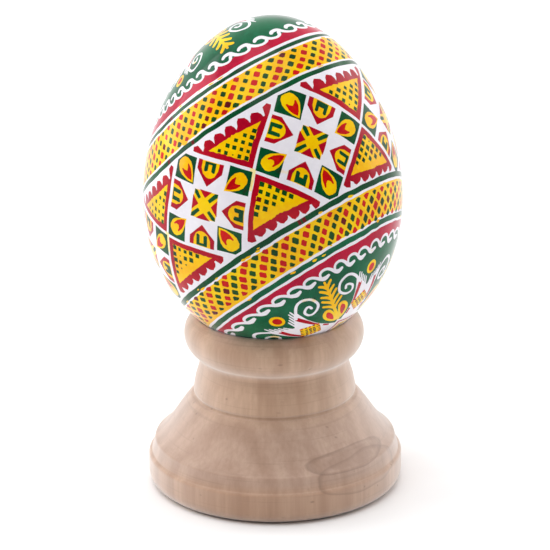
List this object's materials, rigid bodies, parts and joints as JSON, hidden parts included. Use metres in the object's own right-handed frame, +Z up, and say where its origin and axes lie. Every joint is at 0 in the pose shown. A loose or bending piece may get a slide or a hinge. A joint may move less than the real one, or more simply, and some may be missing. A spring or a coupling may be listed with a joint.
{
  "type": "pysanka egg on a wooden egg stand",
  "caption": "Hollow hen's eggshell, dyed and varnished in a geometric folk pattern, standing blunt end down in a turned wooden stand that it lifts out of and turns in.",
  "frame": {"origin": "centre of the stand's flat underside, at the table", "axes": "+Z up along the common axis of the stand and the egg; -Y faces the view that shows the belt of standing squares"},
  "size_m": [0.0444, 0.0444, 0.0835],
  "materials": {
    "wood": "bare, turned and lightly sanded",
    "shell": "dyed in white, yellow, red and green, under clear gloss varnish",
    "membrane": "dry, thin, slightly glossy skin"
  },
  "bodies": {
    "stand": {"stand": "wood"},
    "membrane": {"shell_membrane": "membrane"},
    "egg": {"eggshell": "shell"}
  },
  "joints": [
    {"name": "egg_lift", "type": "slide", "parent": "stand", "child": "membrane", "axis": [0, 0, 1], "range_m": [0, 0.04]},
    {"name": "egg_turn", "type": "hinge", "parent": "membrane", "child": "egg", "pos_m": [0, 0, 0.0547], "axis": [0, 0, 1], "continuous": true}
  ]
}
